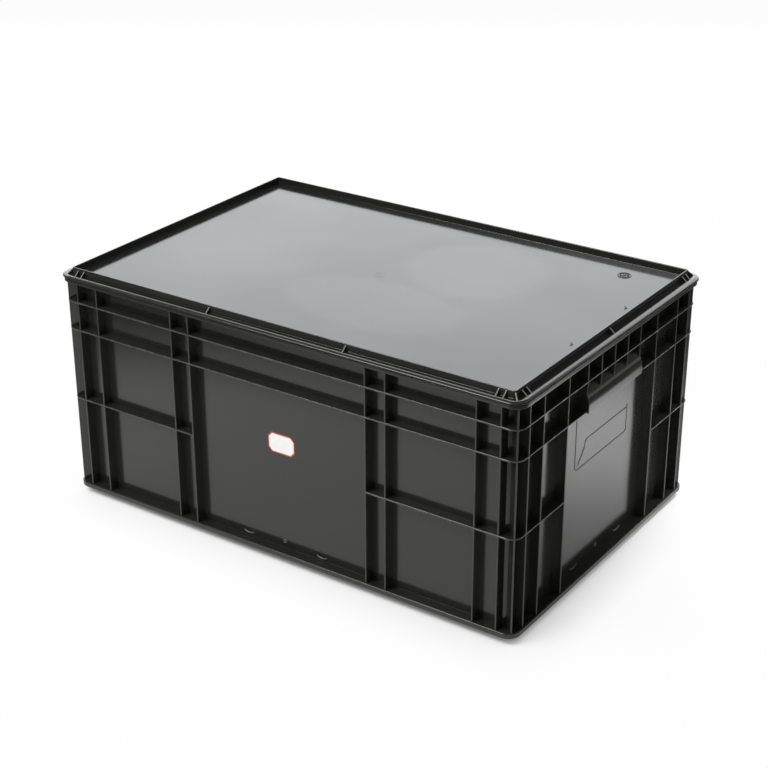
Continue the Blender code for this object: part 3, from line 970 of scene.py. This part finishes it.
for name, lines, bead, body, finish, slotName in (
        ("wallLabel", labelLines(), "wallBead", "crate", crateBlack, "crate_plastic"),
        ("wallPips", pipLines(), "pipBead", "crate", wornBlack, "crate_plastic"),
        ("lidMarkBeads", lidMarkLines(), "lidBead", "lid", lidBlack, "lid_plastic")):
    marks = growTree(name, mouldedBead, linesMesh(name, lines), {
        "Bend Round": markSizes["bend"], "Bead Radius": markSizes[bead], "Material": finish})
    smoothSkin(marks)
    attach(marks, body)
print("moulded marks done")


# Paper sticker with cut corners and a thin red border

stickerSizes = {
    "cut": 0.0052, "cornerRound": 0.0006, "cornerSteps": 4, "border": 0.0015, "borderSoft": 0.0004,
    "edgeRows": ((0.0, 1.0), (0.0, -0.4), (0.0001, -0.8), (0.0003, -1.0)),  # inset, place in the thickness
    "paper": (0.93, 0.92, 0.91), "red": (0.50, 0.090, 0.045),
    "blotScale": 180.0, "blotShade": 0.95, "borderWaver": 0.0003,
    "roughness": 0.42, "fibreRoughness": 0.2, "fibreScale": 2200.0, "fibreHeight": 0.00002,
}


def paperFinish():
    sizes = stickerSizes
    material, tree, shader, place = newFinish("coatedPaper")
    centre = (paperLow + paperHigh) / 2
    half = (paperHigh - paperLow) / 2
    parts = partsOf(tree, vectorMaths(tree, 'SUBTRACT', place, tuple(centre)))
    along = maths(tree, 'ABSOLUTE', parts["X"])
    up = maths(tree, 'ABSOLUTE', parts["Z"])
    sides = [maths(tree, 'SUBTRACT', away, limit) for away, limit in ((along, half.x), (up, half.z))]
    slant = maths(tree, 'SUBTRACT', maths(tree, 'ADD', along, up), half.x + half.z - sizes["cut"])
    slant = maths(tree, 'MULTIPLY', slant, math.sqrt(0.5))
    edge = maths(tree, 'MAXIMUM', maths(tree, 'MAXIMUM', *sides), slant)  # 0 at the paper's edge, less inside
    fibre = noise(tree, place, sizes["fibreScale"], detail=4.0)
    blot = noise(tree, place, sizes["blotScale"], detail=2.0)
    uneven = maths(tree, 'MULTIPLY_ADD', blot[0], sizes["borderWaver"], edge)
    red = ranged(tree, uneven, (-sizes["border"], -sizes["border"] + sizes["borderSoft"]))
    white = mixColours(tree, blot[0], sizes["paper"], tuple(c * sizes["blotShade"] for c in sizes["paper"]))
    tree.links.new(mixColours(tree, red, white, sizes["red"]), shader["Base Color"])
    rough = maths(tree, 'MULTIPLY_ADD', fibre[0], sizes["fibreRoughness"], sizes["roughness"])
    tree.links.new(rough, shader["Roughness"])
    bump = addNode(tree, 'ShaderNodeBump', {"Distance": sizes["fibreHeight"], "Height": fibre[0]})
    tree.links.new(bump.outputs[0], shader["Normal"])
    return material


def paperSheet():
    sizes = stickerSizes
    centre = (paperLow + paperHigh) / 2
    halfX, halfY, halfZ = (paperHigh - paperLow) / 2
    cut = sizes["cut"]
    quarter = [(halfX, halfZ - cut), (halfX - cut, halfZ)]
    octagon = quarter + [(-x, z) for x, z in reversed(quarter)]
    octagon += [(-x, -z) for x, z in octagon]
    rounded = []
    for i, point in enumerate(octagon):
        near = (octagon[i - 1], point, octagon[(i + 1) % len(octagon)])
        rounded += softened(near, [sizes["cornerRound"]], sizes["cornerSteps"])[1:-1]
    loops = []
    for inset, share in sizes["edgeRows"]:
        y = centre.y + halfY * share
        scaleX = 1 - inset / halfX
        scaleZ = 1 - inset / halfZ
        loops.append([(centre.x + p[0] * scaleX, y, centre.z + p[1] * scaleZ) for p in rounded])
    return skinLoops("paperSticker", loops)


paperSticker = paperSheet()
paperSticker.data.materials.append(paperFinish())
smoothSkin(paperSticker)
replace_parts(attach(paperSticker, "crate"), "paper_sticker")
print("sticker done")


# Stage: pale floor, soft lamps and the camera at the photograph's place

stageLook = {
    "floorRadius": 9.0, "floorColour": (0.82, 0.82, 0.82),
    "seenWhite": 0.95, "mirroredWhite": 0.25, "contactReach": 0.07,  # how much of the floor is plain white
    "paintedShadeFade": (0.54, 0.88), "paintedShadeFar": 0.16,  # painted shade: in reflections the floor dims away from the crate
    "paintedPool": (0.46, 0.27, 0.0), "paintedPoolFade": (0.22, 0.42), "paintedPoolWhite": 0.45,  # painted pool of light: in reflections the floor is bright by the end wall
    "worldLight": 0.38, "skyTop": 0.16, "skyFade": (-0.02, 0.10),
}


def mixNumbers(tree, factor, first, second):
    return addNode(tree, 'ShaderNodeMix', {0: factor, 2: first, 3: second}, data_type='FLOAT').outputs[0]


def rayKinds(tree):  # rays from the camera, and those that a face mirrors or lets through
    path = addNode(tree, 'ShaderNodeLightPath').outputs
    return path["Is Camera Ray"], maths(tree, 'MAXIMUM', path["Is Glossy Ray"], path["Is Transmission Ray"])


def paleFloor():
    look = stageLook
    bm = bmesh.new()
    bmesh.ops.create_circle(bm, cap_ends=True, segments=96, radius=look["floorRadius"])
    floor = meshPiece("paleFloor", bm)
    material = bpy.data.materials.new("paleFloor")
    material.use_nodes = True
    tree = material.node_tree
    tree.nodes.clear()
    fromCamera, mirrored = rayKinds(tree)
    unshaded = addNode(tree, 'ShaderNodeAmbientOcclusion', {"Distance": look["contactReach"]}).outputs["AO"]
    seen = maths(tree, 'MULTIPLY', fromCamera, look["seenWhite"])
    seen = maths(tree, 'MULTIPLY', seen, unshaded)  # the contact shadow stays
    spot = addNode(tree, 'ShaderNodeTexCoord').outputs["Object"]
    # painted pool of light on the floor, seen only in reflections
    fromPaintedPool = vectorMaths(tree, 'DISTANCE', spot, look["paintedPool"])
    paintedPool = ranged(tree, fromPaintedPool, look["paintedPoolFade"], look["paintedPoolWhite"], look["mirroredWhite"], soft=True)
    share = maths(tree, 'MAXIMUM', seen, maths(tree, 'MULTIPLY', mirrored, paintedPool))
    # painted shade: in reflections the floor darkens away from the crate
    away = vectorMaths(tree, 'LENGTH', spot)
    paintedShade = ranged(tree, away, look["paintedShadeFade"], 1.0, look["paintedShadeFar"], soft=True)
    level = mixNumbers(tree, mirrored, 1.0, paintedShade)
    tone = vectorMaths(tree, 'SCALE', look["floorColour"], level)
    matt = addNode(tree, 'ShaderNodeBsdfDiffuse', {"Color": tone}).outputs[0]
    white = addNode(tree, 'ShaderNodeEmission', {"Color": (1, 1, 1, 1), "Strength": level}).outputs[0]
    mixed = addNode(tree, 'ShaderNodeMixShader', {0: share, 1: matt, 2: white}).outputs[0]
    addNode(tree, 'ShaderNodeOutputMaterial', {"Surface": mixed})
    floor.data.materials.append(material)


def paleWorld():  # white at the horizon, greyer overhead in reflections
    look = stageLook
    world = bpy.data.worlds.new("paleWorld")
    world.use_nodes = True
    tree = world.node_tree
    tree.nodes.clear()
    fromCamera, mirrored = rayKinds(tree)
    way = addNode(tree, 'ShaderNodeTexCoord').outputs["Generated"]
    sky = ranged(tree, partsOf(tree, way)["Z"], look["skyFade"], 1.0, look["skyTop"], soft=True)
    strength = mixNumbers(tree, mirrored, look["worldLight"], sky)
    strength = mixNumbers(tree, fromCamera, strength, 1.0)
    light = addNode(tree, 'ShaderNodeBackground', {"Color": (1, 1, 1, 1), "Strength": strength}).outputs[0]
    addNode(tree, 'ShaderNodeOutputWorld', {"Surface": light})
    bpy.context.scene.world = world


softboxes = {
    "backBox": {"place": (-1.15, 1.72, 0.98), "aim": (0, 0, 0.27), "size": (3.0, 1.3), "watts": 28.0,
                "tint": (0.965, 0.98, 1.0), "spread": 180, "mirrored": True},
    "frontBox": {"place": (-0.88, -1.50, 2.32), "aim": (0, 0, 0.15), "size": (1.4, 1.4), "watts": 66.0,
                 "tint": (1, 1, 1), "spread": 180, "mirrored": True},
    "floorSpot": {"place": (0.62, 0.38, 1.0), "aim": (0.48, 0.28, 0), "size": (0.3, 0.3), "watts": 1.05,
                  "tint": (1, 1, 1), "spread": 28, "mirrored": False},  # for the floor by the end wall
}


def softLamps():
    for name, box in softboxes.items():
        lamp = bpy.data.lights.new(name, 'AREA')
        lamp.shape = 'RECTANGLE'
        lamp.size, lamp.size_y = box["size"]
        lamp.energy = box["watts"]
        lamp.color = box["tint"]
        lamp.spread = math.radians(box["spread"])
        item = bpy.data.objects.new(name, lamp)
        item.location = box["place"]
        item.rotation_euler = (Vector(box["aim"]) - Vector(box["place"])).to_track_quat('-Z', 'Y').to_euler()
        item.visible_glossy = box["mirrored"]
        bpy.context.scene.collection.objects.link(item)


viewSizes = {
    "place": (1.02050, -1.48183, 0.99438), "turn": (64.5926, 0.1293, 34.3461), "lens": 81.437, "sensor": 36.0}


def photoCamera():
    camera = bpy.data.cameras.new("photoCamera")
    camera.lens = viewSizes["lens"]
    camera.sensor_width = viewSizes["sensor"]
    item = bpy.data.objects.new("photoCamera", camera)
    item.location = viewSizes["place"]
    item.rotation_euler = [math.radians(t) for t in viewSizes["turn"]]
    bpy.context.scene.collection.objects.link(item)
    bpy.context.scene.camera = item


paleFloor()
paleWorld()
softLamps()
photoCamera()
bpy.context.scene.view_settings.view_transform = 'Standard'
print("stage ready")
